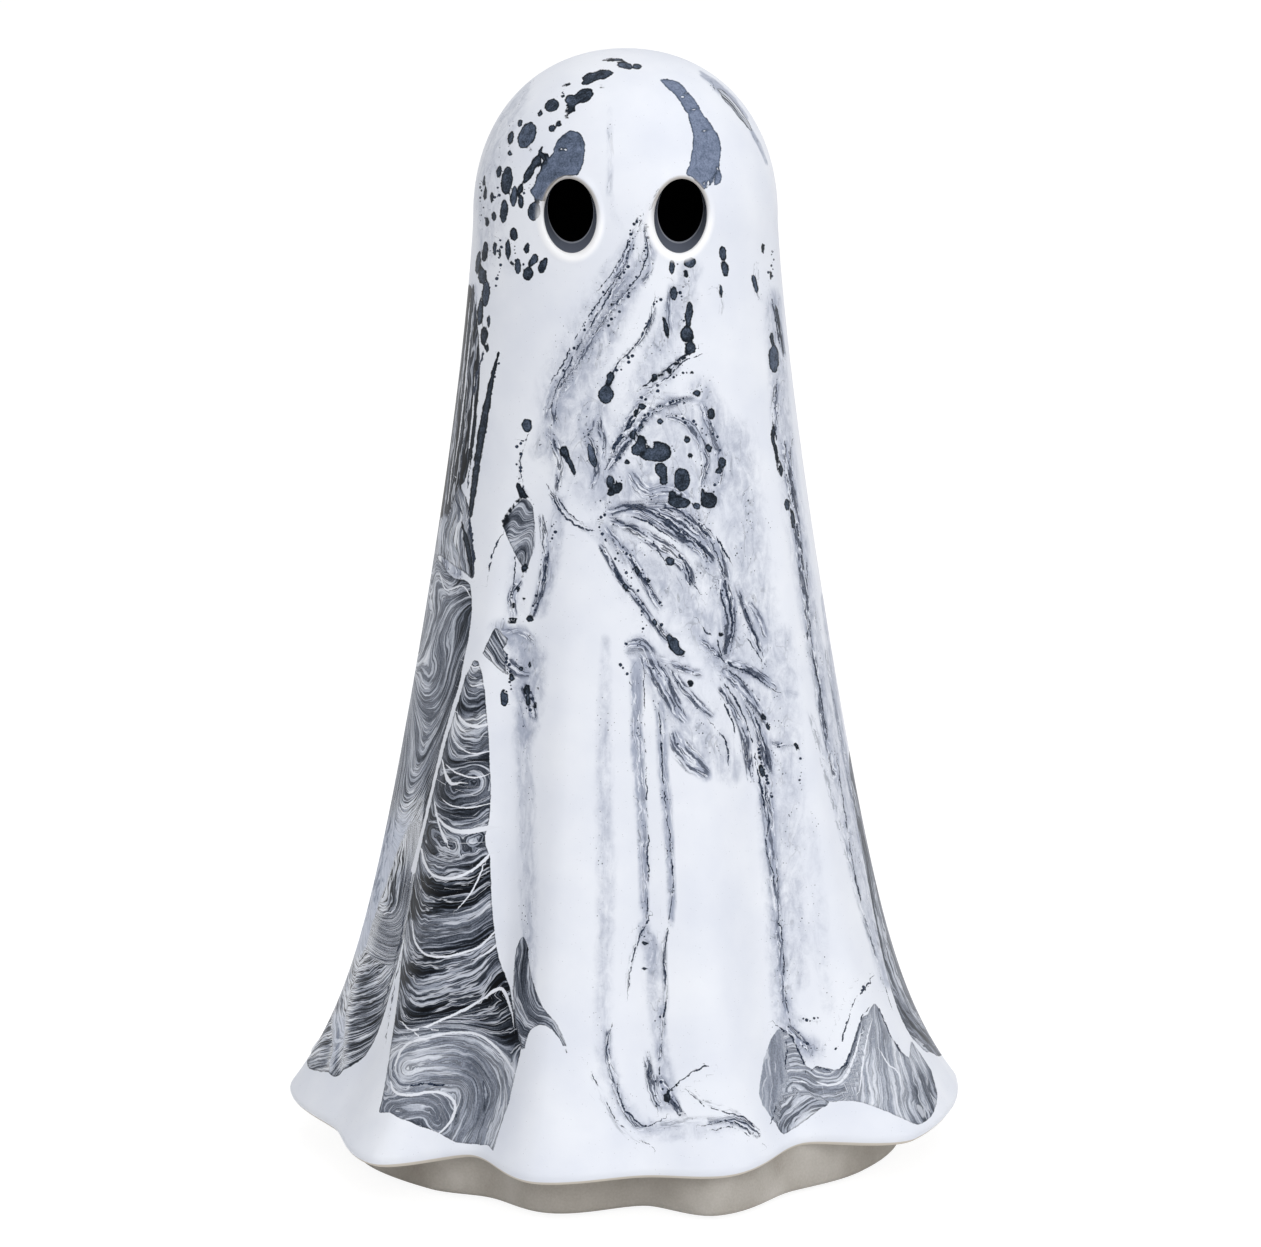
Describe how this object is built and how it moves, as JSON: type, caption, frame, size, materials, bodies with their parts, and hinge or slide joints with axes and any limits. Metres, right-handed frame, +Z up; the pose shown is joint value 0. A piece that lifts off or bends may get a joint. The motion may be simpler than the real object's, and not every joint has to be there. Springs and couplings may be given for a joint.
{
  "type": "ceramic ghost figure",
  "caption": "Hollow glazed ceramic ghost figure with a draped, fluted skirt, open eye holes and a recessed bare clay foot on soft pads.",
  "frame": {"origin": "on the table under the middle of the figure, on the vertical axis of its head", "axes": "+Z up to the crown, the face and its eye holes look towards -Y, +X to the right as seen from the front"},
  "size_m": [0.1543, 0.1525, 0.255],
  "materials": {
    "marbled_glaze": "satin white glaze with slate marbling",
    "bare_clay": "unglazed fired stoneware",
    "soft_pad": "matte"
  },
  "bodies": {
    "root": {"ghost_shell": "marbled_glaze", "foot_base": "bare_clay", "pad_1": "soft_pad", "pad_2": "soft_pad", "pad_3": "soft_pad", "pad_4": "soft_pad"}
  },
  "joints": []
}
